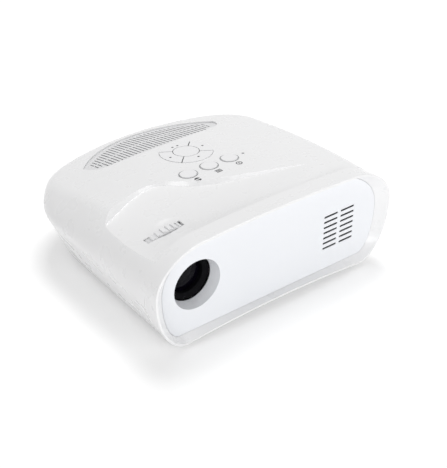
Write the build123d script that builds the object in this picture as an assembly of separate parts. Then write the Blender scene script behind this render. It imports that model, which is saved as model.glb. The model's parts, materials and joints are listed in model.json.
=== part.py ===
from build123d import *
import math
import os

# ---------------------------------------------------------------- driving dimensions (mm)
# Origin: middle of the footprint, on the floor. Front faces -Y, +X is to the right of a viewer in front.
rim_width = 300.0          # the hood's widest line
depth = 275.0              # front of the hood to the rear of the housing
height = 120.0             # floor to the hood's top
foot_height = 5.0          # floor to the underside
hood_depth = 22.0          # length of the flared front bezel
wall = 2.5                 # moulded walls
seam_z = 54.0              # parting line of the two covers
broad_z = 66.0             # where the upper wall starts to lean inwards
shoulder_run = 58.0        # how far the shoulders lean in
shoulder_rise = 52.0       # over this height
belly_inset = 22.0         # how far the lower cover tapers in at the underside
top_fillet = 16.0          # blend of the dome into the shoulders
belly_fillet = 9.0
clearance = 0.35           # gap round keys and loose covers
running = 0.05             # radial clearance of shafts in bores

side_radius = 5000.0       # plan outline: gently bowed sides, round corners, bowed rear
top_side_radius = 600.0    # the sides bow more towards the top, so the shoulders narrow to the rear
corner_radius = 80.0
rear_radius = 270.0
dome_top = 117.0           # the dome's height at the front
dome_radius = 890.0        # bow of the dome from front to rear
dome_cross_radius = 1100.0  # bow of the dome from side to side
deck_shift = 60.0          # the lower front deck bows about this X, so it is deepest on the left

lens_x = -95.0
lens_z = 63.0
cone_front_r = 27.5
cone_rear_r = 24.8
barrel_r = 24.0
mount_r = 27.0
focus_r = 41.0
focus_y = -81.5
focus_width = 8.0

vent_columns = (75.3, 97.6)  # X of the two columns' middles
vent_length = 18.6
vent_pitch = 6.38
vent_top_z = 75.0
vent_rows = 7

button_pitch = 26.5
button_r = 8.7
button_y = -22.0
pad_centre = (5.5, 25.0)
pad_rx = 27.0
pad_ry = 31.0
key_proud = 0.8            # keys stand this far above the dome

disc_diameter = 120.0
tray_travel = 125.0
tray_y = -23.0             # middle of the tray
tray_width = 128.0
tray_top_z = 74.0
pocket_x = 60.0            # middle of the disc pocket when shut
pinion_teeth = 18
wheel_teeth = 36
motor_teeth = 14

y_front = -depth / 2
y_rear = depth / 2
y_cover = y_front + hood_depth     # the covers start behind the hood
cover_half = rim_width / 2 - 2.0
pinion_at = (118.0, tray_y - tray_width / 2 + 22.0)


# ---------------------------------------------------------------- small helpers
def block(x0, x1, y0, y1, z0, z1):
    """Box between two corners."""
    low = (Align.MIN, Align.MIN, Align.MIN)
    return Pos(x0, y0, z0) * Box(x1 - x0, y1 - y0, z1 - z0, align=low)


def along(axis, at):
    """Placement whose local Z runs along an axis, at a point."""
    turn = {"x": (0, 90, 0), "y": (-90, 0, 0), "z": (0, 0, 0)}[axis]
    return Pos(*at) * Rot(*turn)


def rod(radius, length, at, axis="z"):
    """Round bar that starts at a point and runs along an axis."""
    low = (Align.CENTER, Align.CENTER, Align.MIN)
    return along(axis, at) * Cylinder(radius, length, align=low)


def tube(outer, inner, length, at, axis="z"):
    return rod(outer, length, at, axis) - rod(inner, length, at, axis)


def cone(r0, r1, length, at, axis="z"):
    low = (Align.CENTER, Align.CENTER, Align.MIN)
    return along(axis, at) * Cone(r0, r1, length, align=low)


def front_plane(y):
    """Plane facing the viewer; its X and Y are the model's X and Z."""
    return Plane(origin=(0, y, 0), x_dir=(1, 0, 0), z_dir=(0, -1, 0))


def prism(face, z0, z1):
    """A flat outline in the XY plane carried from z0 up to z1."""
    return extrude(Pos(0, 0, z0) * face, z1 - z0)


# ---------------------------------------------------------------- housing form
def circles_meet(c0, r0, c1, r1):
    """The right-hand rear meeting point of two circles."""
    dx, dy = c1[0] - c0[0], c1[1] - c0[1]
    gap = math.hypot(dx, dy)
    a = (r0 * r0 - r1 * r1 + gap * gap) / (2 * gap)
    h = math.sqrt(r0 * r0 - a * a)
    mx, my = c0[0] + a * dx / gap, c0[1] + a * dy / gap
    both = [(mx + s * h * dy / gap, my - s * h * dx / gap) for s in (-1, 1)]
    return max(both, key=lambda p: p[1])


def plan_outline(inset, bow=side_radius):
    """Outline seen from above, drawn in by inset: five tangent arcs and a straight front."""
    side_c = (cover_half - bow, y_front)
    rear_c = (0, y_rear - rear_radius)
    corner_c = circles_meet(side_c, bow - corner_radius, rear_c, rear_radius - corner_radius)
    start = math.degrees(math.asin((y_cover - side_c[1]) / (bow - inset)))
    to_corner = math.degrees(math.atan2(corner_c[1] - side_c[1], corner_c[0] - side_c[0]))
    to_rear = math.degrees(math.atan2(corner_c[1] - rear_c[1], corner_c[0] - rear_c[0]))
    side = CenterArc(side_c, bow - inset, start, to_corner - start)
    corner = CenterArc(corner_c, corner_radius - inset, to_corner, to_rear - to_corner)
    rear = CenterArc(rear_c, rear_radius - inset, to_rear, 180 - 2 * to_rear)
    p = side @ 0
    front = Line((-p.X, p.Y), (p.X, p.Y))
    return make_face(Curve() + [front, side, corner, rear, mirror(corner, Plane.YZ), mirror(side, Plane.YZ)])


def shoulder(z):
    """How far the upper wall leans in at a height: a quarter ellipse."""
    rise = max(0.0, z - broad_z) / shoulder_rise
    return shoulder_run * (1 - math.sqrt(1 - rise * rise))


def side_bow(z):
    """Radius of the sides' bow at a height; its curvature grows evenly above the belt."""
    share = max(0.0, z - broad_z) / (dome_top - broad_z)
    return 1 / (1 / side_radius + share * (1 / top_side_radius - 1 / side_radius))


def upper_hull(inset):
    levels = (seam_z, broad_z, 82.0, 95.0, 105.0, 112.0, dome_top - 0.5)
    return loft([Pos(0, 0, z) * plan_outline(shoulder(z) + inset, side_bow(z)) for z in levels])


def lower_hull(inset, floor):
    """Tapered lower body from the seam down to a floor level."""
    taper = belly_inset / (seam_z - foot_height)
    low = plan_outline(inset + taper * (seam_z - floor))
    return loft([Pos(0, 0, floor) * low, Pos(0, 0, seam_z) * plan_outline(inset)], ruled=True)


def domed(profile, shift=0.0, half_angle=14.0):
    """Turn a side profile about a low axis that runs from front to rear, so its top bows sideways."""
    axis = Axis((0, 0, dome_top - dome_cross_radius), (0, 1, 0))
    return Pos(shift, 0, 0) * revolve(profile.rotate(axis, -half_angle), axis, 2 * half_angle)


def under_dome(drop=0.0):
    """Everything below the dome, lowered by drop."""
    def z(y):
        return dome_top - drop - dome_radius + math.sqrt(dome_radius**2 - (y - y_front) ** 2)
    y0, y1, base = y_front - 5, y_rear + 15, 30.0
    top = ThreePointArc((0, y0, z(y0)), (0, 0, z(0)), (0, y1, z(y1)))
    rest = Polyline((0, y1, z(y1)), (0, y1, base), (0, y0, base), (0, y0, z(y0)))
    return domed(make_face(Curve() + [top, rest]))


def under_deck(drop=0.0):
    """Everything below the lower front deck, which dips behind the hood."""
    y1, base = 10.0, 30.0
    start, middle, end = (0, y_front, 119.8 - drop), (0, -75.0, 111.9 - drop), (0, y1, 111.5 - drop)
    top = ThreePointArc(start, middle, end)
    rest = Polyline(end, (0, y1, base), (0, y_front, base), start)
    return domed(make_face(Curve() + [top, rest]), deck_shift)


step_line = ((-124, -17), (-90, -9), (-60, -12), (-38, -33), (-12, -52), (12, -62), (37, -71), (80, -84))


def dome_region(back=0.0):
    """Region behind the curved step, its face sloping back as it rises."""
    points = [(-175, -24), *step_line, (130, -92), (175, -95)]
    faces = []
    for y_shift, z in ((-12.0, 90.0), (9.0, 125.0)):
        edge = Spline([(x, y + y_shift + back, z) for x, y in points])
        a, b = edge @ 0, edge @ 1
        rest = Polyline(b, (b.X, 160, z), (a.X, 160, z), a)
        faces.append(make_face(Curve() + [edge, rest]))
    return loft(faces, ruled=True)


def low_fill():
    return block(-200, 200, -200, 200, 30, 92)


def shell_form(inset):
    """Form of the top cover, drawn in by inset: shoulders and dome, blended, cut down to the front deck."""
    body = upper_hull(inset) & under_dome(inset)
    blend = []
    for edge in body.edges():
        box = edge.bounding_box()
        upright = box.size.Z > 0.9 * (box.size.X + box.size.Y)
        front = box.max.Y < y_cover + 5
        if box.min.Z > 60 and not upright and not front and box.size.Y > 5:
            if box.max.Z < dome_top - inset - 0.6 or box.size.X > 60:
                blend.append(edge)
    body = body.fillet(top_fillet - inset, blend)
    return body & (under_deck(inset) + dome_region(inset) + low_fill())


def outer_top():
    """Outside form of the top cover."""
    return shell_form(0.0)


def inner_top():
    """Hollow of the top cover."""
    return shell_form(wall)


# ---------------------------------------------------------------- front rim outlines
def rim_outline(side, top, bottom, arch, flat_top=90.0, flat_bottom=112.0, mid=70.0):
    """Rounded front outline in a plane's X and Z: quarter ellipses joined by bowed top and bottom."""
    shoulder_z = top - 2.5
    up_c, low_c = (flat_top, mid), (flat_bottom, mid)
    edges = [ThreePointArc((-flat_top, shoulder_z), (0, top), (flat_top, shoulder_z)),
             EllipticalCenterArc(up_c, side - flat_top, shoulder_z - mid, start_angle=0, arc_size=90),
             EllipticalCenterArc(low_c, side - flat_bottom, mid - bottom, start_angle=270, arc_size=90)]
    edges += [mirror(e, Plane.YZ) for e in edges[1:]]
    if arch:
        edges.append(ThreePointArc((-flat_bottom, bottom), (0, bottom + arch), (flat_bottom, bottom)))
    else:
        edges.append(Line((-flat_bottom, bottom), (flat_bottom, bottom)))
    return make_face(Curve() + edges)


rim_half = rim_width / 2
rim_low = foot_height - 1.5
dish_depth = 9.0
panel_half = rim_half - 13.0
panel_thick = 2.5


def rim_face(inset, y):
    return front_plane(y) * rim_outline(rim_half - inset, height - inset, rim_low + inset, 5.0)


def panel_face(grow, y):
    return front_plane(y) * rim_outline(panel_half + grow, height - 4 + grow, rim_low + 7 - grow, 0.0,
                                        flat_top=78.0, flat_bottom=116.0, mid=64.0)


def front_bezel():
    y_lip = y_front + dish_depth
    outside = loft([rim_face(0, y_front), rim_face(2.0, y_cover)], ruled=True)
    edge = outside.faces().sort_by(Axis.Y)[0].edges()
    outside = outside.fillet(1.0, edge)
    dish = loft([rim_face(2.6, y_front - 0.01), panel_face(0, y_lip)], ruled=True)
    seat = extrude(panel_face(0, y_lip), -panel_thick)
    hollow = extrude(rim_face(3.0, y_lip + panel_thick), -(hood_depth - dish_depth - panel_thick))
    return outside - dish - seat - hollow


def front_panel():
    y_face = y_front + dish_depth
    y_flange = y_face + panel_thick
    plate = extrude(panel_face(-clearance, y_face), -panel_thick)
    flange = extrude(panel_face(2.0, y_flange), -panel_thick) & extrude(rim_face(3.3, y_flange), -panel_thick)
    y_back = y_flange + panel_thick
    collar_end = y_face + 12.5
    collar = cone(cone_front_r + 2, cone_rear_r + 2, collar_end - y_face, (lens_x, y_face, lens_z), "y")
    body = plate + flange + collar
    body -= cone(cone_front_r, cone_rear_r, collar_end - y_face, (lens_x, y_face, lens_z), "y")
    slot = front_plane(0) * SlotOverall(vent_length, 2.4)
    slots = []
    for x in vent_columns:
        for row in range(vent_rows):
            place = Pos(x, y_back + 1, vent_top_z - row * vent_pitch)
            slots.append(place * extrude(slot, y_back - y_face + 2))
    return body - slots


# ---------------------------------------------------------------- loudspeaker grille
def crescent(grow=0.0):
    """Crescent outline: bowed rear edge, nearly straight front edge, round ends."""
    a, b = (-86 - grow, 84), (86 + grow, 84)
    c, d = (66 + grow, 64 - grow), (-66 - grow, 64 - grow)
    edges = [ThreePointArc(a, (0, 122.5 + grow), b), ThreePointArc(b, (81.5 + grow, 70), c),
             ThreePointArc(c, (0, 61.5 - grow), d), ThreePointArc(d, (-81.5 - grow, 70), a)]
    return make_face(Curve() + edges)


grille_drop = 1.8
grille_thick = 1.8
slit_pitch = 4.6
slit_width = 1.5


def speaker_grille():
    plate = prism(crescent(-0.25), 60, 125) & under_dome(grille_drop)
    plate -= under_dome(grille_drop + grille_thick)
    slits = []
    for i in range(-16, 17):
        x = i * slit_pitch
        far = 84 + 38.5 * (1 - (x / 86) ** 2) - 5.5
        near = 67.5 if abs(x) < 68 else 73.0
        middle = (near + far) / 2
        slits.append(block(x - slit_width / 2, x + slit_width / 2, near, middle - 0.9, 60, 125))
        slits.append(block(x - slit_width / 2, x + slit_width / 2, middle + 0.9, far, 60, 125))
    return plate - slits


# ---------------------------------------------------------------- keys
def ellipse_face(rx, ry, at):
    return Pos(at[0], at[1], 0) * Ellipse(rx, ry)


pad_inner = 0.48           # centre key's share of the pad
key_gap = 0.8              # between neighbouring keys of the pad
key_lip = 0.9              # the flange under the cover reaches this far past a key's outline


def pad_sector(side, lip=0.0):
    """Outline of one direction key of the round pad; side counts quarter turns from +X."""
    ring = ellipse_face(pad_rx + lip, pad_ry + lip, pad_centre)
    ring -= ellipse_face(pad_rx * pad_inner + key_gap, pad_ry * pad_inner + key_gap, pad_centre)
    reach = 60.0
    wedge = Polyline((key_gap, 0), (reach, reach - key_gap), (reach, key_gap - reach), close=True)
    quarter = Pos(*pad_centre, 0) * Rot(0, 0, 90 * side) * make_face(wedge)
    return ring & quarter


pad_reach = (0.74 * pad_rx, 0.74 * pad_ry)     # middle of a direction key from the pad's middle
key_places = {"power_button": (-button_pitch, button_y), "menu_button": (0.0, button_y),
              "source_button": (button_pitch, button_y)}
key_middles = {"pad_key_right": (pad_centre[0] + pad_reach[0], pad_centre[1]),
               "pad_key_rear": (pad_centre[0], pad_centre[1] + pad_reach[1]),
               "pad_key_left": (pad_centre[0] - pad_reach[0], pad_centre[1]),
               "pad_key_front": (pad_centre[0], pad_centre[1] - pad_reach[1]),
               "pad_key_centre": pad_centre, **key_places}


def key_outlines(lip=0.0):
    """Plan outline of every key, or with lip, of the flange that keeps it under the cover."""
    sides = ("pad_key_right", "pad_key_rear", "pad_key_left", "pad_key_front")
    outlines = {name: pad_sector(i, lip) for i, name in enumerate(sides)}
    outlines["pad_key_centre"] = ellipse_face(pad_rx * pad_inner, pad_ry * pad_inner, pad_centre)
    for name, place in key_places.items():
        outlines[name] = ellipse_face(button_r + lip, button_r + lip, place)
    return outlines


board_tilt = -9.5
board_at = (5.0, 12.0, 92.0)
board_posts = ((-32.0, 52.0), (42.0, 52.0), (-34.0, -6.0), (42.0, -6.0))
flange_drop = wall + 0.35


def board_space(lift=0.0):
    """Everything below the tilted control board's top, raised by lift."""
    low = (Align.CENTER, Align.CENTER, Align.MAX)
    return Pos(*board_at) * Rot(board_tilt, 0, 0) * Pos(0, 0, lift) * Box(300, 300, 60, align=low)


def key_solid(outline, lip, middle):
    """Cap that follows the dome, a flange that keeps it in, and a stem to its switch."""
    cap = (prism(outline, 70, 125) & under_dome(-key_proud)) - under_dome(wall + 1.4)
    rim = (prism(lip, 70, 125) & under_dome(flange_drop)) - under_dome(wall + 1.4)
    stem = (rod(2.0, 60, (middle[0], middle[1], 60)) & under_dome(wall + 1.3)) - board_space(2.3)
    return cap + rim + stem


def led_window():
    pipe = rod(1.4, 60, (44.6, button_y, 60)) & under_dome()
    return pipe - block(30, 60, -60, 0, 0, 100.5)


def control_board():
    board = Pos(*board_at) * Rot(board_tilt, 0, 0) * Pos(0, 0, -0.8) * Box(84, 92, 1.6)
    domes = []
    for x, y in key_middles.values():
        domes.append((rod(3.2, 60, (x, y, 60)) & board_space(0.9)) - board_space(-0.2))
    return board + domes


# ---------------------------------------------------------------- covers
boss_places = ((-58.0, -104.0), (114.0, -102.0), (-112.0, 18.0), (100.0, 60.0), (-92.0, 80.0))
elevator_at = (0.0, -96.0)
rear_feet = ((-66.0, 86.0), (66.0, 86.0))
mount_x = 140.0            # ceiling mount hole spacing
mount_y = 76.0
mount_centre_y = -25.0
mount_hole_r = 2.0
mount_depth = 10.0
lamp_door_box = (-104.0, -50.0, 28.0, 72.0)
tray_gate = (62.0, 78.0)   # height of the tray's opening
panel_box = (-76.0, 76.0, 12.0, 48.0)   # rear recess: X from, X to, Z from, Z to
panel_y = 108.0            # outside face of the rear panel


def scoop():
    """Ball that dishes the deck round the focus ring's slot."""
    ball, deep = 120.0, 1.4
    slope = (lens_x - deck_shift) / dome_cross_radius
    x, y, z = lens_x + 4.0, focus_y + 5.0, 101.6
    reach = (ball - deep) / math.hypot(slope, 1)
    return Pos(x + slope * reach, y, z + reach) * Sphere(ball)


def top_cover():
    body = outer_top() - inner_top()
    slot = block(lens_x - 26.5, lens_x + 16.5, focus_y - 4.6, focus_y + 4.6, 85, 125)
    body -= scoop()
    body -= slot
    well = prism(crescent(), 60, 125) - under_dome(grille_drop + grille_thick + 0.1)
    frame_under = (prism(crescent(4.0), 60, 125) & under_dome(0.5)) - under_dome(grille_drop + grille_thick)
    body += (frame_under - prism(crescent(), 60, 125)) & outer_top()
    ledge = (prism(crescent(4.0), 60, 125) - prism(crescent(-1.8), 60, 125)) & under_dome(
        grille_drop + grille_thick + 0.1)
    body += ledge - under_dome(grille_drop + grille_thick + 1.5)
    body -= well
    body -= prism(crescent(-1.8), 60, 125)
    holes = [ellipse_face(pad_rx + clearance, pad_ry + clearance, pad_centre)]
    holes += [ellipse_face(button_r + clearance, button_r + clearance, place) for place in key_places.values()]
    body -= [prism(hole, 85, 125) for hole in holes]
    body -= rod(1.4 + 0.15, 60, (44.6, button_y, 90))
    body -= block(110, 160, tray_y - tray_width / 2 - 1, tray_y + tray_width / 2 + 1, *tray_gate)
    posts = [rod(4.2, 70, (x, y, seam_z)) - rod(1.6, 12, (x, y, seam_z)) for x, y in boss_places]
    body += [post & outer_top() for post in posts]
    body += [(rod(3.0, 60, (x, y, 60)) & under_dome(1.0)) - board_space(0.25) for x, y in board_posts]
    return body


def bottom_cover():
    outside = lower_hull(0, foot_height)
    under = outside.faces().sort_by(Axis.Z)[0]
    rim = [e for e in under.edges() if e.bounding_box().max.Y > y_cover + 1]
    outside = outside.fillet(belly_fillet, rim)
    inside = lower_hull(wall, foot_height + wall)
    body = outside - inside
    x0, x1, z0, z1 = panel_box
    pocket = block(x0 - wall, x1 + wall, panel_y - 3.5, 160, z0 - wall, z1 + wall) & outside
    body += pocket
    body -= block(x0, x1, panel_y, 160, z0, z1)
    body -= block(x0 + 2, x1 - 2, panel_y - 10, 160, z0 + 2, z1 - 2)
    body -= block(x0 - 0.2, x1 + 0.2, panel_y - 1.8, panel_y + 0.1, z0 - 0.2, z1 + 0.2)
    bosses = [rod(4.2, seam_z - foot_height, (x, y, foot_height)) for x, y in boss_places]
    for x, y in mount_holes():
        bosses.append(rod(5.5, mount_depth + 3, (x, y, foot_height)))
    for x, y in rear_feet:
        bosses.append(rod(11, 4, (x, y, foot_height)))
    ex, ey = elevator_at
    bosses.append(rod(18.5, 8, (ex, ey, foot_height)))
    bosses.append(rod(12.0, 10, (ex, ey, foot_height + 7)))
    bosses.append(rod(8.5, 34, (ex, ey, foot_height + 7)))
    body += [boss & outside for boss in bosses]
    for x, y in boss_places:
        body -= rod(1.6, seam_z, (x, y, foot_height))
        body -= rod(3.2, 22, (x, y, foot_height - 1))
    for x, y in mount_holes():
        body -= rod(mount_hole_r, mount_depth, (x, y, foot_height))
    for x, y in rear_feet:
        body -= rod(9.15, 1.5, (x, y, foot_height))
    body -= rod(15.6, 6.0, (ex, ey, foot_height))
    body -= rod(7.0 + running, 3.0, (ex, ey, foot_height + 5.5))
    body -= rod(9.4, 4.2, (ex, ey, foot_height + 8))
    body -= rod(5.0 + running, 60, (ex, ey, foot_height))
    dx0, dx1, dy0, dy1 = lamp_door_box
    body -= block(dx0, dx1, dy0, dy1, foot_height - 1, foot_height + wall + 1)
    frame = block(dx0 - 2, dx1 + 2, dy0 - 2, dy1 + 2, foot_height + 1.6, foot_height + wall)
    frame -= block(dx0 + 2, dx1 - 2, dy0 + 2, dy1 - 2, foot_height, foot_height + wall + 1)
    body += frame
    body -= intake_slots()
    return body


def mount_holes():
    xs = (-mount_x / 2, mount_x / 2)
    ys = (mount_centre_y - mount_y / 2, mount_centre_y + mount_y / 2)
    return [(x, y) for x in xs for y in ys]


def intake_slots():
    """Air intake under the boards: a row of long slots."""
    slot = Rot(0, 0, 90) * SlotOverall(44, 3)
    return [prism(Pos(20 + 7 * i, -20, 0) * slot, foot_height - 1, foot_height + wall + 1) for i in range(6)]


def lamp_door():
    x0, x1, y0, y1 = lamp_door_box
    door = block(x0 + 0.3, x1 - 0.3, y0 + 0.3, y1 - 0.3, foot_height, foot_height + 1.5)
    ribs = [block(x0 + 8, x1 - 8, y, y + 1.2, foot_height + 1.5, foot_height + 3.5) for y in (38, 50, 62)]
    door += ribs
    for x in (x0 + 6, x1 - 6):
        door -= rod(1.6, 5, (x, (y0 + y1) / 2, foot_height - 1))
    return door


def screw(at, length, head_r=2.8, shank_r=1.5):
    """Pan-head screw driven upwards; at is the head's underside against its seat."""
    x, y, z = at
    return rod(head_r, 2.0, (x, y, z - 2.0)) + rod(shank_r, length, (x, y, z)) - rod(1.0, 1.2, (x, y, z - 2.0))


def cover_screws():
    seat = foot_height + 21
    return Compound([screw((x, y, seat), seam_z - seat + 9) for x, y in boss_places])


# ---------------------------------------------------------------- lens and light path
def lens_mount():
    """Fixed tube that the barrel slides in and the focus ring turns on."""
    y0, y1 = -110.0, -62.0
    body = tube(mount_r, barrel_r + running, y1 - y0, (lens_x, y0, lens_z), "y")
    body += tube(33.0, barrel_r + running, 3.0, (lens_x, y1 - 3.0, lens_z), "y")
    stop = focus_y + focus_width / 2 + 0.3
    return body + tube(mount_r + 3, mount_r - 0.5, 2.5, (lens_x, stop, lens_z), "y")


def focus_ring():
    y0 = focus_y - focus_width / 2
    ring = tube(focus_r - 1.4, mount_r + running, focus_width, (lens_x, y0, lens_z), "y")
    lighten = tube(focus_r - 5.0, mount_r + 4.0, 2.6, (lens_x, y0 - 0.1, lens_z), "y")
    ribs = []
    for i in range(40):
        a = math.radians(9.0 * i)
        place = Pos(lens_x, focus_y, lens_z) * Rot(0, math.degrees(a), 0)
        ribs.append(place * Pos(0, 0, focus_r - 1.5) * Box(3.2, focus_width, 3.0))
    return ring - lighten + ribs


def lens_barrel():
    y0, y1 = -114.5, -72.0
    body = tube(barrel_r, 19.0, y1 - y0, (lens_x, y0, lens_z), "y")
    body -= cone(22.6, 19.0, 3.5, (lens_x, y0, lens_z), "y")
    body += tube(19.5, 14.0, 1.5, (lens_x, -96.0, lens_z), "y")
    return body + tube(19.5, 15.0, 2.0, (lens_x, y1 - 2, lens_z), "y")


def lens_element(y, radius, bulge):
    """Double-convex glass: a turned profile."""
    rim, rise = 1.2, bulge - 1.2
    sphere = (radius**2 + rise**2) / (2 * rise)
    half_way = bulge - sphere + math.sqrt(sphere**2 - radius**2 / 4)
    front = ThreePointArc((0, -bulge), (radius / 2, -half_way), (radius, -rim))
    back = ThreePointArc((radius, rim), (radius / 2, half_way), (0, bulge))
    edges = [front, Line((radius, -rim), (radius, rim)), back, Line((0, bulge), (0, -bulge))]
    turned = revolve(make_face(Curve() + edges), Axis.Y, 360)
    return Pos(lens_x, y, lens_z) * turned


def light_engine():
    """Die-cast housing with mounting feet and an opening to the lens."""
    x0, x1, y0, y1, z0, z1 = -121.0, -66.0, -61.8, 8.0, 36.0, 86.0
    body = block(x0, x1, y0, y1, z0, z1)
    body = body.fillet(4.0, body.edges().filter_by(Axis.Y))
    body -= block(x0 + 3, x1 - 3, y0 + 3, y1 - 3, z0 + 3, z1 - 3)
    body -= rod(20, 10, (lens_x, y0 - 1, lens_z), "y")
    body -= rod(7, 10, (lens_x + 12, y1 - 5, 50), "y")
    feet = [rod(4, z0 - foot_height - wall, (x, y, foot_height + wall)) for x in (-104, -72) for y in (-50, -6)]
    for i in range(7):
        feet.append(block(x0 + 6 + 6.5 * i, x0 + 8 + 6.5 * i, y0 + 10, y1 - 10, z1 - 0.5, z1 + 5))
    return body + feet


def imager_heat_sink():
    base = block(-65.7, -62.5, -50, -14, 42, 78)
    fins = [block(-62.6, -52.0, -50, -14, 42 + 4.0 * i, 43.4 + 4.0 * i) for i in range(9)]
    return base + fins


wheel_at = (-78.0, 66.0)   # colour wheel's axle: X and Z


def colour_wheel():
    x, z = wheel_at
    body = tube(20, 5.0, 1.2, (x, 14.0, z), "y") + tube(7.5, 1.5 + running, 3.0, (x, 13.0, z), "y")
    return body


def colour_wheel_motor():
    x, z = wheel_at
    body = rod(9, 7, (x, 17.0, z), "y") + rod(1.5, 5.0, (x, 12.4, z), "y")
    body += block(x - 13, x + 9, 21.0, 23.0, foot_height + wall, z)
    return body


lamp_at = (-77.0, 38.0)    # lamp's axis: X and Z


def lamp_housing():
    """Open box round the burner, with louvres towards its fan."""
    x0, x1, y0, y1, z0, z1 = -100.0, -54.0, 32.0, 68.0, 12.0, 59.0
    body = block(x0, x1, y0, y1, z0, z1)
    body -= block(x0 + 2, x1 - 2, y0 + 2, y1 - 2, z0 - 1, z1 - 2)
    body -= rod(15, 6, (lamp_at[0], y0 - 1, lamp_at[1]), "y")
    for i in range(5):
        body -= block(x1 - 4, x1 + 1, y0 + 8, y1 - 8, z0 + 8 + 7 * i, z0 + 11 + 7 * i)
    tabs = [block(x - 3, x + 3, y1 - 0.1, y1 + 3.5, foot_height + wall, 24) for x in (-90, -64)]
    return body + tabs


def lamp_reflector():
    """Turned bowl with the burner in its neck."""
    outer = ThreePointArc((4.5, 0), (14.4, 7.3), (18.6, 21.5))
    inner = ThreePointArc((17.0, 21.5), (12.9, 8.5), (3.0, 2.0))
    edges = [outer, Line((18.6, 21.5), (17.0, 21.5)), inner, Line((3.0, 2.0), (3.0, 0)), Line((3.0, 0), (4.5, 0))]
    bowl = revolve(make_face(Curve() + edges), Axis.Y, 360)
    burner = rod(2.9, 16, (0, 0.0, 0), "y") + rod(3.2, 8, (0, -7.5, 0), "y")
    x, z = lamp_at
    turned = Pos(x, 58.0, z) * Rot(0, 0, 180) * (bowl + burner + tube(4.5, 2.8, 7, (0, -6.0, 0), "y"))
    return turned + block(x - 3, x + 3, 65.2, 65.7, z - 4, z + 4)


# ---------------------------------------------------------------- fans
def fan_frame(size, thick, at):
    """Square frame with a round throat, corner holes, motor plate and three struts; it blows along Y."""
    x, y, z = at
    low = (Align.CENTER, Align.MIN, Align.CENTER)
    frame = Box(size, thick, size, align=low)
    frame = frame.fillet(3.0, frame.edges().filter_by(Axis.Y))
    frame -= rod(size / 2 - 1.5, thick, (0, 0, 0), "y")
    spread = size / 2 - 4.0
    for sx in (-1, 1):
        for sz in (-1, 1):
            frame -= rod(1.8, thick, (sx * spread, 0, sz * spread), "y")
    plate = rod(size * 0.2, 1.5, (0, thick - 1.5, 0), "y")
    strut = Pos(0, thick - 0.75, size * 0.3) * Box(2.4, 1.5, size * 0.42)
    struts = [Rot(0, 120 * i, 0) * strut for i in range(3)]
    pin = rod(1.5, thick - 3.5, (0, 3.0, 0), "y")
    return Pos(x, y, z) * (frame + plate + struts + pin)


def fan_rotor(size, thick, at, blades=7):
    """Hub with twisted blades, on the frame's pin."""
    x, y, z = at
    hub_r = size * 0.2
    hub = rod(hub_r, thick - 4.0, (0, 1.5, 0), "y") - rod(1.5 + running, thick, (0, 2.9, 0), "y")
    reach = size / 2 - 3.0
    root_face = Plane(origin=(0, thick / 2 - 0.5, hub_r - 1.0), z_dir=(0, 0, 1)) * Rot(0, 0, 52) * Rectangle(
        thick - 4.5, 1.2)
    tip_face = Plane(origin=(3.0, thick / 2 - 0.5, reach), z_dir=(0, 0, 1)) * Rot(0, 0, 30) * Rectangle(
        thick - 2.5, 1.0)
    blade = loft([root_face, tip_face], ruled=True)
    swept = blade & rod(reach, thick - 3.0, (0, 1.0, 0), "y")
    return Pos(x, y, z) * (hub + [Rot(0, 360 / blades * i, 0) * swept for i in range(blades)])


front_fan = (60.0, 15.0, (86.5, -123.1, 52.0))
lamp_fan = (50.0, 15.0, (-18.0, 62.0, 32.8))


# ---------------------------------------------------------------- boards
def board(plates, parts, posts):
    """Circuit board on posts. A part is a can (x, y, radius, tall) or a block (x0, x1, y0, y1, tall)."""
    z = board_z
    body = [block(*plate, z, z + board_thick) for plate in plates]
    top = z + board_thick - 0.05
    for part in parts:
        if len(part) == 4:
            x, y, radius, tall = part
            body.append(rod(radius, tall, (x, y, top)))
        else:
            body.append(block(*part[:4], top, top + part[4]))
    base = foot_height + wall
    body += [rod(3, z - base + 0.1, (x, y, base)) for x, y in posts]
    return Part() + body


board_z = 20.5
board_thick = 1.6


def main_board():
    plates = [(-48, 30, 83.9, 94.5), (10, 74, 36, 84.1)]
    chips = [(22, 46, 48, 72, 3), (52, 66, 44, 60, 2), (50, 64, 66, 78, 1.5), (-40, -28, 86, 93, 2), (16, 20, 84, 93, 6)]
    return board(plates, chips, ((-42, 89), (24, 89), (16, 42), (58, 40)))


def power_board():
    parts = [(-24, -50, 9, 24), (-4, -50, 9, 24), (20, -52, 6, 18), (44, 70, -60, -34, 21), (76, 78, -66, 14, 20)]
    parts += [(30, 58, -18, 8, 16), (-22, -14, 11, 9), (6, 6, 5, 14), (-8, 6, 5, 14)]
    return board([(-44, 112, -72, 26)], parts, ((-38, -66), (106, -66), (-38, 20), (106, 20)))


def speaker_driver(x):
    """Round driver tilted to follow the dome: basket, cone and magnet."""
    profile = [(0, -3.0), (5, -3.0), (6.5, -5.0), (16.5, -0.8), (17.5, 0.3), (18.6, 0.3), (19.5, -0.5), (21, -0.5),
               (21, -2.5), (18.5, -3.0), (13, -9.5), (12, -15), (0, -15)]
    turned = revolve(make_face(Polyline(*profile, close=True)), Axis.Y, 360)
    return Pos(x, 87.0, 81.5) * Rot(-13.6, 0, 0) * Rot(90, 0, 0) * turned


# ---------------------------------------------------------------- rear connectors
jack_xs = (-60.0, -46.0, -32.0)
jack_zs = (22.0, 36.0)
vga_at = (-6.0, 29.0)
headphone_at = (18.0, 24.0)
inlet_at = (48.0, 29.0)
inlet_size = (27.0, 19.5)


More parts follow.
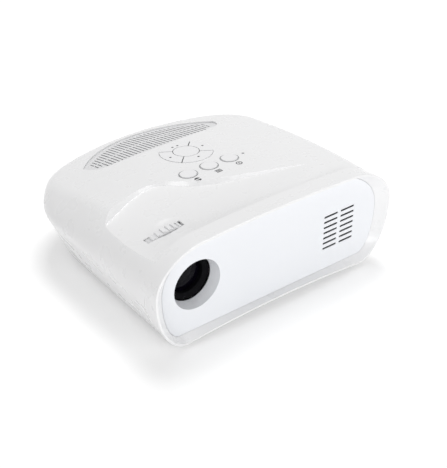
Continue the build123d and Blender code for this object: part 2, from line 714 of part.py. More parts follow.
def rear_panel():
    x0, x1, z0, z1 = panel_box
    plate = block(x0, x1, panel_y - 1.6, panel_y, z0, z1)
    for x in jack_xs:
        for z in jack_zs:
            plate -= rod(5.2, 5, (x, panel_y - 3, z), "y")
    vx, vz = vga_at
    plate -= block(vx - 9.2, vx + 9.2, panel_y - 3, panel_y + 3, vz - 5.2, vz + 5.2)
    hx, hz = headphone_at
    plate -= rod(3.6, 5, (hx, panel_y - 3, hz), "y")
    ix, iz = inlet_at
    plate -= block(ix - 14.2, ix + 14.2, panel_y - 3, panel_y + 3, iz - 10.4, iz + 10.4)
    plate -= block(16.5, 19.5, panel_y - 3, panel_y + 3, 34, 41)
    return plate


def av_jacks():
    """Six phono sockets, each a body behind the panel and a barrel through it."""
    jacks = []
    for x in jack_xs:
        for z in jack_zs:
            body = block(x - 6, x + 6, panel_y - 12, panel_y - 1.9, z - 6, z + 6)
            body += rod(5.0, 2.2, (x, panel_y - 2.0, z), "y") + rod(4.15, 8.5, (x, panel_y, z), "y")
            jacks.append(body - rod(1.7, 12, (x, panel_y - 3.0, z), "y"))
    return Compound(jacks)


def monitor_port():
    x, z = vga_at
    shell = front_plane(0) * (RectangleRounded(16.6, 8.0, 2.0) - RectangleRounded(15.6, 7.0, 1.6))
    body = block(x - 9, x + 9, panel_y - 12, panel_y + 0.8, z - 5, z + 5)
    body += Pos(x, panel_y + 6.0, z) * extrude(shell, 6.0)
    for dx in (-12.3, 12.3):
        body += rod(2.4, 4.0, (x + dx, panel_y + 0.05, z), "y")
    body += block(x - 14.5, x + 14.5, panel_y + 0.05, panel_y + 0.8, z - 5.8, z + 5.8)
    return body


def headphone_jack():
    x, z = headphone_at
    body = block(x - 5, x + 5, panel_y - 13, panel_y - 1.9, z - 5, z + 5) + rod(3.4, 3.5, (x, panel_y - 2.0, z), "y")
    return body - rod(1.75, 13.0, (x, panel_y - 11.5, z), "y")


def mains_inlet():
    """Three-pin inlet: a shrouded socket with blades."""
    x, z = inlet_at
    w, h = inlet_size
    outer = front_plane(0) * RectangleRounded(w + 0.9, h + 0.9, 2.5)
    cavity = front_plane(0) * RectangleRounded(24.0, 16.5, 2.0)
    body = Pos(x, panel_y + 1.5, z) * extrude(outer, 21.5)
    body += block(x - 17, x + 17, panel_y + 0.05, panel_y + 1.5, z - 12, z + 12)
    body -= Pos(x, panel_y + 2.0, z) * extrude(cavity, 17.0)
    blades = [block(x + dx - 1, x + dx + 1, panel_y - 15.5, panel_y - 3, z + dz - 2, z + dz + 2)
              for dx, dz in ((-7, -2), (7, -2), (0, 3))]
    return body + blades


# ---------------------------------------------------------------- disc player
chassis_x = (-22.0, 128.0)
chassis_z = (55.0, 80.0)
chassis_y = (tray_y - tray_width / 2 - 4.5, tray_y + tray_width / 2 + 4.5)
floor_top = chassis_z[0] + 1.6
rail_y = (tray_y - 15.0, tray_y + 15.0)
screw_y = tray_y - 21.5
deck_box = (-10.0, 88.0, tray_y - 27.0, tray_y + 27.0)


def drive_chassis():
    """Tub that carries the tray: floor with the traverse window, side walls with guide ledges, gear pin."""
    x0, x1 = chassis_x
    y0, y1 = chassis_y
    z0, z1 = chassis_z
    body = block(x0, x1, y0, y1, z0, z1) - block(x0 + 1.6, x1 + 1, y0 + 1.6, y1 - 1.6, floor_top, z1 + 1)
    dx0, dx1, dy0, dy1 = deck_box
    body -= block(dx0 - 2, dx1 + 2, dy0 - 2, dy1 + 2, z0 - 1, floor_top + 1)
    for y, side in ((y0, 1), (y1, -1)):
        near = y + side * 1.6
        far = y + side * 7.0
        body += block(x0 + 1.6, x1, min(near, far), max(near, far), 63.4, 65.6)
    px, py = pinion_at
    body += rod(3.2, 1.4, (px, py, floor_top - 0.1)) + rod(1.5, 11.5, (px, py, floor_top))
    motor_x = px - (wheel_teeth + motor_teeth) / 2
    body -= rod(9.0, 5, (motor_x, py, z0 - 1))
    legs = [(x, y) for x in (x0 + 3.6, x1 - 26) for y in (y0 + 8.5, y1 - 8.5)]
    base = foot_height + wall
    body += [rod(3.5, z0 - base + 0.1, (x, y, base)) for x, y in legs]
    return body


def drive_lid():
    x0, x1 = chassis_x
    y0, y1 = chassis_y
    z = chassis_z[1]
    lid = block(x0, x1, y0, y1, z + 0.05, z + 1.4)
    lid -= rod(8.6, 4, (pocket_x, tray_y, z - 1))
    lid += tube(16.5, 14.5, 0.9, (pocket_x, tray_y, z + 1.3))
    return lid - block(x1 - 30, x1 + 1, y0 + 40, y1 - 40, z - 1, z + 3)


def clamp_puck():
    """Magnetic puck that hangs in the lid over the turntable."""
    z = chassis_z[1]
    body = cone(11.0, 14.0, 1.6, (pocket_x, tray_y, 75.4)) + rod(14.0, 2.3, (pocket_x, tray_y, 77.0))
    body += rod(7.4, 5.0, (pocket_x, tray_y, 77.0)) + rod(11.5, 1.4, (pocket_x, tray_y, z + 1.75))
    return body - rod(2.6, 3.0, (pocket_x, tray_y, 75.4))


def involute_gear(teeth, thick, bore, backlash=0.3):
    """Spur gear of module 1, 20 degree flanks, one tooth on +X; each flank follows the involute."""
    pitch_r, tip_r, root_r = teeth / 2, teeth / 2 + 0.9, teeth / 2 - 1.25
    base_r = pitch_r * math.cos(math.radians(20))
    half = math.pi / (2 * teeth) - backlash / (2 * pitch_r)
    involute_at_pitch = math.tan(math.radians(20)) - math.radians(20)
    flank = []
    for k in range(4):
        r = max(base_r, root_r) + (tip_r - max(base_r, root_r)) * k / 3
        roll = math.acos(min(1.0, base_r / r))
        turn = half + involute_at_pitch - (math.tan(roll) - roll)
        flank.append((r, turn))
    points = []
    for i in range(teeth):
        middle = 2 * math.pi * i / teeth
        points.append((root_r, middle - flank[0][1]))
        points += [(r, middle - t) for r, t in flank]
        points += [(r, middle + t) for r, t in reversed(flank)]
        points.append((root_r, middle + flank[0][1]))
    outline = Polyline(*[(r * math.cos(t), r * math.sin(t)) for r, t in points], close=True)
    return extrude(make_face(outline), thick) - rod(bore, thick, (0, 0, 0))


def rack(x0, x1, y_pitch, z0, z1, phase_x, backlash=0.3):
    """Straight rack of module 1 with its teeth towards +Y; a gap is centred on phase_x."""
    pitch = math.pi
    lean = math.tan(math.radians(20))
    first = math.ceil((x0 - phase_x) / pitch)
    last = math.floor((x1 - phase_x) / pitch)
    points = [(x0, y_pitch - 4.0), (x0, y_pitch - 1.25)]
    half = pitch / 4 - backlash / 2
    for k in range(first, last):
        x = phase_x + (k + 0.5) * pitch
        points += [(x - half - 1.25 * lean, y_pitch - 1.25), (x - half + 0.9 * lean, y_pitch + 0.9),
                   (x + half - 0.9 * lean, y_pitch + 0.9), (x + half + 1.25 * lean, y_pitch - 1.25)]
    points += [(x1, y_pitch - 1.25), (x1, y_pitch - 4.0)]
    return prism(make_face(Polyline(*points, close=True)), z0, z1)


def disc_tray():
    """Tray with a stepped disc pocket, a slot for turntable and pickup, side rails and a rack."""
    y0, y1 = tray_y - tray_width / 2, tray_y + tray_width / 2
    x0 = -14.0
    plate = block(x0, 150, y0, y1, 69.6, tray_top_z)
    plate += block(x0, 150, y0, y0 + 3.0, 66.0, 69.7) + block(x0, 150, y1 - 3.0, y1, 66.0, 69.7)
    plate += block(x0, 128.0, y0 + 5.0, y0 + 12.9, 68.0, 69.7)
    plate = plate & upper_hull(3.1)
    plate -= rod(disc_diameter / 2 + 0.8, 3.0, (pocket_x, tray_y, tray_top_z - 1.6))
    plate -= rod(41.0, 3.0, (pocket_x, tray_y, tray_top_z - 2.8))
    plate -= rod(20.0, 20.0, (pocket_x, tray_y, 60))
    plate -= block(x0 - 1, pocket_x, tray_y - 20.0, tray_y + 20.0, 60, 80)
    teeth = rack(x0 + 1, 130.0, pinion_at[1] - pinion_teeth / 2, 65.0, 68.1, pinion_at[0])
    return plate + teeth


def tray_front():
    """Curved end of the tray that closes the opening in the right side."""
    y0, y1 = tray_y - tray_width / 2 - 1, tray_y + tray_width / 2 + 1
    z0, z1 = tray_gate
    skin = upper_hull(0.0) - upper_hull(3.0)
    return skin & block(100, 160, y0 + clearance, y1 - clearance, z0 + clearance, z1 - clearance)


def tray_gear():
    """Double gear: the large wheel takes the motor's drive, the small one moves the rack."""
    px, py = pinion_at
    small = Rot(0, 0, -90) * involute_gear(pinion_teeth, 3.6, 1.5 + running)
    large = involute_gear(wheel_teeth, 2.4, 1.5 + running)
    return Pos(px, py, 0) * (Pos(0, 0, 58.2) * large + Pos(0, 0, 60.5) * tube(6, 1.5 + running, 3.8, (0, 0, 0))
                             + Pos(0, 0, 64.2) * small)


def motor_pinion():
    px, py = pinion_at
    x = px - (wheel_teeth + motor_teeth) / 2
    gear = Rot(0, 0, 180 / motor_teeth) * involute_gear(motor_teeth, 3.0, 1.0 + running)
    return Pos(x, py, 58.0) * gear


def loading_motor():
    px, py = pinion_at
    x = px - (wheel_teeth + motor_teeth) / 2
    can = rod(8.6, 12, (x, py, 43.0)) + rod(2.5, 2.4, (x, py, 55.0)) + rod(1.0, 5.0, (x, py, 56.0))
    tab = block(x - 12, x + 12, py - 2.5, py + 2.5, 54.0, 54.95)
    return can + tab


def traverse_deck():
    """Plate that carries the spindle motor, the pickup's rails and its lead screw."""
    x0, x1, y0, y1 = deck_box
    deck = block(x0, x1, y0, y1, 59.0, 60.6)
    deck -= block(-4, 46, tray_y - 11.5, tray_y + 11.5, 58, 62)
    ribs = [block(x0, x1, y0, y0 + 1.2, 60.5, 62.5), block(x0, x1, y1 - 1.2, y1, 60.5, 62.5)]
    for y in rail_y:
        for x in (-9.0, 48.0):
            ribs.append(block(x, x + 3, y - 2.6, y + 2.6, 60.5, 66.4))
    for x in (-9.0, 48.0):
        ribs.append(block(x, x + 3, screw_y - 2.0, screw_y + 2.0, 60.5, 66.0))
    deck += ribs
    for y in rail_y:
        deck -= rod(1.5, 70, (-12, y, 64.0), "x")
    return deck - rod(1.0 + running, 70, (-12, screw_y, 64.0), "x")


def pickup_rails():
    return Compound([rod(1.5, 60.0, (-9.0, y, 64.0), "x") for y in rail_y])


def spindle_motor():
    can = rod(10.5, 6.0, (pocket_x, tray_y, 60.6)) + rod(1.5, 5.4, (pocket_x, tray_y, 66.5))
    return can + block(pocket_x - 4, pocket_x + 26, tray_y - 9, tray_y + 9, 60.6, 61.6)


def turntable():
    body = rod(14.3, 2.2, (pocket_x, tray_y, 69.6)) + cone(7.4, 6.6, 2.4, (pocket_x, tray_y, 71.7))
    body += rod(5.0, 2.6, (pocket_x, tray_y, 67.1))
    return body - rod(1.5 + running, 5.1, (pocket_x, tray_y, 67.0))


def pickup_sled():
    """Sled with bores for both rails, an arm on the lead screw and the lens in its mount."""
    x0, x1 = -4.0, 20.0
    body = block(x0, x1, tray_y - 18.0, tray_y + 18.0, 61.6, 67.0)
    body = body.fillet(1.2, body.edges().filter_by(Axis.Z))
    for y in rail_y:
        body -= rod(1.5 + running, 60, (-20, y, 64.0), "x")
    body += block(3, 9, screw_y - 3.2, tray_y - 17.9, 60.9, 67.0)
    body -= rod(2.0 + running, 60, (-20, screw_y, 64.0), "x")
    body += rod(5.0, 1.2, (12.0, tray_y, 66.9)) + rod(2.6, 0.8, (12.0, tray_y, 68.0))
    return body - block(-2, 4, tray_y - 9, tray_y + 9, 64.5, 68)


def lead_screw():
    """Journals in the deck's ears, a threaded run between them, a drive gear at the end."""
    core = rod(1.0, 63.0, (-9.5, screw_y, 64.0), "x") + rod(1.7, 53.4, (-5.7, screw_y, 64.0), "x")
    rings = [rod(2.0, 0.9, (-4.6 + 2.0 * i, screw_y, 64.0), "x") for i in range(26)]
    return core + rings + rod(3.2, 2.2, (51.4, screw_y, 64.0), "x")


def sled_motor():
    return rod(4.2, 12.0, (55.5, screw_y + 1.5, 64.9), "x") + rod(0.8, 1.8, (53.8, screw_y + 1.5, 64.9), "x")


# ---------------------------------------------------------------- feet
def rear_feet_pads():
    pads = []
    for x, y in rear_feet:
        pad = rod(9.0, foot_height + 1.5, (x, y, 0))
        pads.append(pad.fillet(1.2, pad.edges().filter_by(GeomType.CIRCLE).sort_by(Axis.Z)[0:1]))
    return Compound(pads)


def foot_wheel():
    """Captured thumb wheel: knurled rim, neck and snap flange."""
    x, y = elevator_at
    z = foot_height
    body = rod(14.6, 4.4, (x, y, z + 1.2))
    grips = [Pos(x, y, z + 3.4) * Rot(0, 0, 15 * i) * Pos(14.6, 0, 0) * Cylinder(0.8, 4.4) for i in range(24)]
    body += grips
    body += rod(7.0, 3.5, (x, y, z + 5.5)) + rod(8.6, 1.8, (x, y, z + 8.4))
    return body - rod(5.0 + running, 20, (x, y, z))


def foot_stem():
    x, y = elevator_at
    foot = cone(11.5, 12.5, 3.2, (x, y, 0.0)) + cone(12.5, 5.0, 1.8, (x, y, 3.2))
    return foot + rod(5.0, foot_height + 30, (x, y, 2.0))


# ---------------------------------------------------------------- build
def build_parts():
    parts = {
        "top_cover": top_cover(),
        "bottom_cover": bottom_cover(),
        "front_bezel": front_bezel(),
        "front_panel": front_panel(),
        "speaker_grille": speaker_grille(),
        "led_window": led_window(),
        "control_board": control_board(),
        "lamp_door": lamp_door(),
        "cover_screws": cover_screws(),
        "lens_mount": lens_mount(),
        "focus_ring": focus_ring(),
        "lens_barrel": lens_barrel(),
        "lens_front_glass": lens_element(-106.0, 19.0 - 0.05, 4.5),
        "lens_rear_glass": lens_element(-80.0, 19.0 - 0.05, 3.2),
        "light_engine": light_engine(),
        "imager_heat_sink": imager_heat_sink(),
        "colour_wheel": colour_wheel(),
        "colour_wheel_motor": colour_wheel_motor(),
        "lamp_housing": lamp_housing(),
        "lamp_reflector": lamp_reflector(),
        "front_fan_frame": fan_frame(*front_fan),
        "front_fan_rotor": fan_rotor(*front_fan),
        "lamp_fan_frame": fan_frame(*lamp_fan),
        "lamp_fan_rotor": fan_rotor(*lamp_fan),
        "main_board": main_board(),
        "power_board": power_board(),
        "speaker_left": speaker_driver(-46.0),
        "speaker_right": speaker_driver(46.0),
        "rear_panel": rear_panel(),
        "av_jacks": av_jacks(),
        "monitor_port": monitor_port(),
        "headphone_jack": headphone_jack(),
        "mains_inlet": mains_inlet(),
        "drive_chassis": drive_chassis(),
        "drive_lid": drive_lid(),
        "clamp_puck": clamp_puck(),
        "disc_tray": disc_tray(),
        "tray_front": tray_front(),
        "tray_gear": tray_gear(),
        "motor_pinion": motor_pinion(),
        "loading_motor": loading_motor(),
        "traverse_deck": traverse_deck(),
        "pickup_rails": pickup_rails(),
        "spindle_motor": spindle_motor(),
        "turntable": turntable(),
        "pickup_sled": pickup_sled(),
        "lead_screw": lead_screw(),
        "sled_motor": sled_motor(),
        "rear_feet": rear_feet_pads(),
        "foot_wheel": foot_wheel(),
        "foot_stem": foot_stem(),
    }
    lips = key_outlines(key_lip)
    for name, outline in key_outlines().items():
        parts[name] = key_solid(outline, lips[name], key_middles[name])
    return parts


os.makedirs("parts", exist_ok=True)
for node, shape in build_parts().items():
    export_step(shape, f"parts/{node}.step")
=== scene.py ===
"""Looks of a desktop projector with a disc player: finishes, printed marks, painted shade, studio and camera.
"""

import json
import math

import bpy
import numpy as np
from mathutils import Matrix, Vector
from mathutils.bvhtree import BVHTree


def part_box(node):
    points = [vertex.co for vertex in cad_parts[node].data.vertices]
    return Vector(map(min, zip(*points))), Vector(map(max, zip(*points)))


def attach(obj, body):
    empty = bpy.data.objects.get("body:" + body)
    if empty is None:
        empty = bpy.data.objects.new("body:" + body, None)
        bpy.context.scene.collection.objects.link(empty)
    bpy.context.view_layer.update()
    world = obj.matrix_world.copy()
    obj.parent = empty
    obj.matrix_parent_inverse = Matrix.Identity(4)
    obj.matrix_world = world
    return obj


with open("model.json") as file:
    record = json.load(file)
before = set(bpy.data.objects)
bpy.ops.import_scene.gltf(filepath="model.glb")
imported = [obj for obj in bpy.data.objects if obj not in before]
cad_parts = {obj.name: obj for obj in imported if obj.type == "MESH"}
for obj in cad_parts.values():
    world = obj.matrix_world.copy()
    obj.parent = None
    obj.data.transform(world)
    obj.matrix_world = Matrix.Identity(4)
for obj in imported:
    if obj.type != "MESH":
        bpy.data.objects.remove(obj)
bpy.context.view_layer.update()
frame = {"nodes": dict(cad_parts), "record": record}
nodes = frame["nodes"]

# ---------------------------------------------------------------- places, read from the frame (metres)
mm = 0.001


def plan_middle(node):
    """Middle of a node's box, seen from above."""
    low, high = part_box(node)
    return (low.x + high.x) / 2, (low.y + high.y) / 2


panel_face_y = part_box("front_panel")[0].y
pad_x, pad_y = plan_middle("pad_key_centre")
button_middles = {button: plan_middle(button) for button in ("power_button", "menu_button", "source_button")}

# the field of vent slots on the front panel, seen from the front, whose walls get painted shade
vents_left, vents_right = 62.0 * mm, 110.0 * mm
vents_bottom, vents_top = 34.5 * mm, 77.5 * mm

WHITE = (0.90, 0.90, 0.905)
COOL_WHITE = (0.86, 0.875, 0.905)

# sockets of the Mix node that mixes colours
MIX_FACTOR, MIX_A, MIX_B, MIX_RESULT = 0, 6, 7, 2


# ---------------------------------------------------------------- shader maths
class Wire:
    """A socket on which Python's operators add Math nodes."""

    def __init__(self, tree, socket):
        self.tree = tree
        self.socket = socket

    def node(self, kind, settings=None, values=None, out=0):
        """Any node: its type, its settings, the values or wires of its sockets, and the output wanted."""
        made = self.tree.nodes.new(kind)
        for name, value in (settings or {}).items():
            if name == "stops":
                ramp = made.color_ramp
                while len(ramp.elements) < len(value):
                    ramp.elements.new(0.5)
                for element, (place, colour) in zip(ramp.elements, value):
                    element.position = place
                    element.color = (*colour, 1.0)
            else:
                setattr(made, name, value)
        for name, value in (values or {}).items():
            if isinstance(value, Wire):
                self.tree.links.new(value.socket, made.inputs[name])
            else:
                made.inputs[name].default_value = value
        return Wire(self.tree, made.outputs[out])

    def maths(self, operation, *terms, clamp=False):
        """One Math node on the terms, in order."""
        settings = {"operation": operation, "use_clamp": clamp}
        return self.node("ShaderNodeMath", settings, dict(enumerate(terms)))

    def __add__(self, other):
        return self.maths("ADD", self, other)

    def __sub__(self, other):
        return self.maths("SUBTRACT", self, other)

    def __rsub__(self, other):
        return self.maths("SUBTRACT", other, self)

    def __mul__(self, other):
        return self.maths("MULTIPLY", self, other)

    def __truediv__(self, other):
        return self.maths("DIVIDE", self, other)

    __radd__ = __add__
    __rmul__ = __mul__


class Finish:
    """One material: a Principled shader, its object coordinates, and the maths on them."""

    def __init__(self, name, colour, roughness, metallic=0.0, **sockets):
        self.material = bpy.data.materials.new(name)
        self.material.use_nodes = True
        self.tree = self.material.node_tree
        self.shader = self.tree.nodes["Principled BSDF"]
        self.set("Base Color", (*colour, 1.0))
        self.set("Roughness", roughness)
        self.set("Metallic", metallic)
        for socket, value in sockets.items():
            self.set(socket.replace("_", " "), value)
        self.wire = Wire(self.tree, None)
        self.place = self.wire.node("ShaderNodeTexCoord", out="Object")

    def set(self, socket, value):
        """Gives a socket of the shader a plain value, or links a wire to it."""
        if isinstance(value, Wire):
            self.tree.links.new(value.socket, self.shader.inputs[socket])
        else:
            self.shader.inputs[socket].default_value = value

    def noise(self, scale, detail=3.0, rough=0.5, stretch=None):
        """Noise of that many cells to the metre, from 0 to 1."""
        place = self.place
        if stretch:
            place = self.wire.node("ShaderNodeMapping", None, {"Vector": place, "Scale": stretch})
        return self.wire.node("ShaderNodeTexNoise", None,
                              {"Vector": place, "Scale": scale, "Detail": detail, "Roughness": rough})

    def axes(self):
        """The object coordinates as three wires: x, y and z."""
        return [self.wire.node("ShaderNodeSeparateXYZ", None, {0: self.place}, out=axis) for axis in range(3)]

    def tint(self, mask, low, high):
        """Mixes two colours by a mask: the low one at 0, the high one at 1."""
        low, high = (colour if isinstance(colour, Wire) else (*colour, 1.0) for colour in (low, high))
        return self.wire.node("ShaderNodeMix", {"data_type": "RGBA"},
                              {MIX_FACTOR: mask, MIX_A: low, MIX_B: high}, out=MIX_RESULT)

    def bump(self, height, strength, distance):
        """Relief from a height of 0 to 1, that many metres deep."""
        self.set("Normal", self.wire.node("ShaderNodeBump", None,
                                          {"Height": height, "Strength": strength, "Distance": distance}))


def moulded(name, colour, roughness, grain=1400.0, depth=0.00002, coat=0.0, wear=0.05, shade=0.965):
    """Moulded plastic: a fine spark-eroded grain, a slow drift of tone, and handling wear in the gloss.

    Grain is in cells to the metre, depth in metres, wear is the swing of the roughness to each side, and
    shade is the darkest tone as a share of the colour.
    """
    finish = Finish(name, colour, roughness, Coat_Weight=coat, Coat_Roughness=0.08, IOR=1.5)
    cloud = finish.noise(9.0, 2.0)
    finish.set("Base Color", finish.tint(cloud, tuple(c * shade for c in colour), colour))
    finish.set("Roughness", finish.noise(45.0, 4.0) * (2 * wear) + (roughness - wear))
    finish.bump(finish.noise(grain, 2.0), 0.25, depth)
    return finish


def plated(name, colour, roughness, stretch=(1.0, 1.0, 1.0), scale=420.0):
    """Plated or rolled metal: noise stretched along one way tints it, roughens it and gives its relief."""
    finish = Finish(name, colour, roughness, 1.0)
    streak = finish.noise(scale, 4.0, 0.6, stretch)
    finish.set("Base Color", finish.tint(streak, tuple(c * 0.82 for c in colour), colour))
    finish.set("Roughness", streak * 0.2 + (roughness - 0.06))
    finish.bump(streak, 0.2, 0.00004)
    return finish


def circuit_board():
    """Green solder mask with a darker web of tracks, from the cells of a square Voronoi pattern."""
    finish = Finish("circuit_board", (0.02, 0.16, 0.07), 0.35, IOR=1.5)
    cells = finish.wire.node("ShaderNodeTexVoronoi", {"distance": "CHEBYCHEV", "feature": "F1"},
                             {"Vector": finish.place, "Scale": 330.0})
    tracks = finish.wire.maths("LESS_THAN", cells, 0.35)
    finish.set("Base Color", finish.tint(tracks, (0.02, 0.15, 0.06), (0.04, 0.26, 0.12)))
    finish.set("Roughness", tracks * 0.12 + 0.3)
    finish.bump(tracks, 0.3, 0.00005)
    return finish


def coated_lens():
    """Dark coated glass: nearly black, with a faint cloud in the coating."""
    finish = Finish("lens_glass", (0.003, 0.003, 0.006), 0.05, Coat_Roughness=0.03, IOR=1.45)
    finish.set("Specular IOR Level", 0.1)
    cloud = finish.noise(60.0, 2.0)
    finish.set("Base Color", finish.tint(cloud, (0.001, 0.001, 0.002), (0.003, 0.002, 0.006)))
    finish.set("Roughness", cloud * 0.03 + 0.03)
    return finish


def filter_glass():
    """Colour wheel: three coated segments, picked by the angle round the axle."""
    low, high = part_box("colour_wheel")
    finish = Finish("coated_glass", (0.5, 0.5, 0.6), 0.06, Coat_Weight=0.5, IOR=1.5)
    x, _, z = finish.axes()
    dx, dz = x - (low.x + high.x) / 2, z - (low.z + high.z) / 2
    turn = finish.wire.maths("ARCTAN2", dz, dx) / (2 * math.pi) + 0.5
    red, green, blue = (0.5, 0.05, 0.05), (0.05, 0.4, 0.1), (0.06, 0.1, 0.6)
    stops = [(0.0, red), (0.32, red), (0.34, green), (0.65, green), (0.67, blue), (1.0, blue)]
    ramp = finish.wire.node("ShaderNodeValToRGB", {"stops": stops}, {0: turn})
    finish.set("Base Color", ramp)
    finish.set("Roughness", finish.noise(80.0) * 0.05 + 0.04)
    return finish


def cast_alloy():
    """Die-cast alloy: pebbled skin and cloudy grey."""
    finish = Finish("cast_alloy", (0.45, 0.46, 0.47), 0.45, 1.0)
    pebble = finish.noise(900.0, 3.0, 0.6)
    finish.set("Base Color", finish.tint(finish.noise(70.0), (0.38, 0.39, 0.40), (0.50, 0.51, 0.52)))
    finish.set("Roughness", pebble * 0.25 + 0.35)
    finish.bump(pebble, 0.3, 0.00006)
    return finish


def smoked_window():
    """Smoked clear plastic over the indicator: grey with a fine speckle."""
    finish = Finish("smoked_window", (0.10, 0.11, 0.12), 0.12, Coat_Weight=0.5, IOR=1.5)
    finish.set("Base Color", finish.tint(finish.noise(400.0), (0.08, 0.09, 0.10), (0.13, 0.14, 0.15)))
    finish.set("Roughness", finish.noise(300.0) * 0.1 + 0.08)
    return finish


def reflector():
    """Faceted dichroic bowl: a bright mirror, slightly blue, with a dimpled gloss."""
    finish = Finish("reflector_mirror", (0.75, 0.78, 0.85), 0.08, 1.0)
    dimples = finish.noise(500.0, 1.0)
    finish.set("Roughness", dimples * 0.1 + 0.05)
    finish.set("Base Color", finish.tint(dimples, (0.70, 0.73, 0.82), (0.82, 0.84, 0.88)))
    finish.bump(dimples, 0.2, 0.00005)
    return finish


finishes = {
    "white_shell": moulded("white_shell", WHITE, 0.28, depth=0.000006, coat=0.1),
    "panel_white": moulded("panel_white", COOL_WHITE, 0.34, depth=0.000006, coat=0.1),
    "grille_white": moulded("grille_white", (0.80, 0.80, 0.81), 0.38, coat=0.05),
    "key_white": moulded("key_white", (0.89, 0.89, 0.90), 0.22, coat=0.3, grain=1900.0),
    "wheel_white": moulded("wheel_white", (0.86, 0.86, 0.87), 0.36, grain=1700.0),
    "smoked_window": smoked_window(),
    "black_plastic": moulded("black_plastic", (0.012, 0.012, 0.014), 0.42, depth=0.00004, shade=0.7),
    "fan_black": moulded("fan_black", (0.02, 0.02, 0.02), 0.48, depth=0.00004, shade=0.7),
    "speaker_black": moulded("speaker_black", (0.03, 0.03, 0.03), 0.7, grain=700.0, depth=0.00012, shade=0.6),
    "lens_glass": coated_lens(),
    "coated_glass": filter_glass(),
    "cast_alloy": cast_alloy(),
    "circuit_board": circuit_board(),
    "screw_steel": plated("screw_steel", (0.55, 0.55, 0.56), 0.32),
    "motor_steel": plated("motor_steel", (0.62, 0.62, 0.63), 0.28, (1.0, 1.0, 6.0)),
    "drive_steel": plated("drive_steel", (0.68, 0.68, 0.69), 0.34, (0.15, 1.0, 1.0), 700.0),
    "lamp_box_plastic": moulded("lamp_box_plastic", (0.04, 0.04, 0.045), 0.55, depth=0.00005, shade=0.8),
    "reflector_mirror": reflector(),
    "rear_panel_grey": moulded("rear_panel_grey", (0.50, 0.51, 0.52), 0.45, depth=0.00004),
    "jack_metal": plated("jack_metal", (0.64, 0.63, 0.60), 0.25),
    "drive_plastic": moulded("drive_plastic", (0.035, 0.035, 0.038), 0.45, depth=0.00005, shade=0.75),
    "gear_nylon": moulded("gear_nylon", (0.76, 0.74, 0.66), 0.42, depth=0.00003),
    "turntable_rubber": moulded("turntable_rubber", (0.02, 0.02, 0.02), 0.65, grain=800.0, depth=0.00008,
                                shade=0.7),
    "foot_rubber": moulded("foot_rubber", (0.03, 0.03, 0.03), 0.75, grain=700.0, depth=0.0001, shade=0.7),
    "foot_plastic": moulded("foot_plastic", (0.60, 0.60, 0.61), 0.45, depth=0.00003),
}
lens_black = moulded("lens_black", (0.004, 0.004, 0.005), 0.62, depth=0.00003, wear=0.03, shade=0.7)
lens_black.set("Specular IOR Level", 0.06)


def paint_shade_in_slots(finish):
    """Paints shade on the walls of the vent slots: near black inside their field, more with the depth behind
    the face, where the slots lie in shadow.
    """
    face_kept, full_depth = 0.3 * mm, 1.0 * mm
    x, y, z = finish.axes()
    maths = finish.wire.maths
    across = maths("GREATER_THAN", x, vents_left) * maths("LESS_THAN", x, vents_right)
    upright = maths("GREATER_THAN", z, vents_bottom) * maths("LESS_THAN", z, vents_top)
    into = maths("MULTIPLY", y - (panel_face_y + face_kept), 1.0 / full_depth, clamp=True)
    plain = Wire(finish.tree, finish.shader.inputs["Base Color"].links[0].from_socket)
    # painted shade: the slot walls are tinted near black in place of the shadow inside the slots
    finish.set("Base Color", finish.tint(across * upright * into, plain, (0.03, 0.03, 0.035)))


# painted shade in the front panel's vent slots
paint_shade_in_slots(finishes["panel_white"])

slot_of = {row["node"]: row["material_slot"] for row in frame["record"]["subparts"]}
for node, obj in nodes.items():
    obj.data.materials.clear()
    obj.data.materials.append(finishes[slot_of[node]].material)

for node in ("lens_barrel", "lens_mount"):
    nodes[node].data.materials[0] = lens_black.material


# ---------------------------------------------------------------- printed marks, and painted shade round the buttons
ink = moulded("printed_ink", (0.035, 0.035, 0.04), 0.55, depth=0.00001, shade=0.8)
# painted shade: the grey of the rings round the buttons, standing in for the shading at the edges of their
# holes
painted_edge_shade = moulded("painted_edge_shade", (0.20, 0.21, 0.22), 0.5, depth=0.00001, shade=0.9)
ink_lift = 0.06 * mm       # ink lies this far above its surface
above_all = 300.0 * mm     # rays that find the surface start here
trees = {}


def surface_tree(node):
    """Search tree of a node's faces, made once."""
    if node not in trees:
        mesh = nodes[node].data
        corners = [vertex.co for vertex in mesh.vertices]
        trees[node] = BVHTree.FromPolygons(corners, [tuple(face.vertices) for face in mesh.polygons])
    return trees[node]


def surface_height(node, points):
    """Height of a node's top under each plan point, where a ray straight down meets it."""
    tree = surface_tree(node)
    heights = []
    for x, y in points:
        place = tree.ray_cast(Vector((x, y, above_all)), Vector((0, 0, -1)))[0]
        heights.append(np.nan if place is None else place.z)
    heights = np.array(heights)
    return np.where(np.isnan(heights), np.nanmean(heights), heights)


def ink_or_shade_grid(name, node, body, plan, finish):
    """A sheet of ink, or of painted shade round the buttons: a grid of plan points, each raised to the node's
    surface and a hair more.
    """
    rows, columns = plan.shape[:2]
    flat = plan.reshape(-1, 2)
    points = np.column_stack([flat, surface_height(node, flat) + ink_lift])
    index = np.arange(rows * columns).reshape(rows, columns)
    faces = np.stack([index[:-1, :-1], index[:-1, 1:], index[1:, 1:], index[1:, :-1]], axis=-1)
    faces = faces.reshape(-1, 4)
    a, b, c = points[faces[0, :3]]
    if np.cross(b - a, c - a)[2] < 0:
        faces = faces[:, ::-1]
    mesh = bpy.data.meshes.new(name)
    mesh.from_pydata(points.tolist(), [], faces.tolist())
    mesh.polygons.foreach_set("use_smooth", [True] * len(faces))
    mesh.materials.append(finish.material)
    mesh.update()
    made = bpy.data.objects.new(name, mesh)
    bpy.context.scene.collection.objects.link(made)
    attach(made, body)


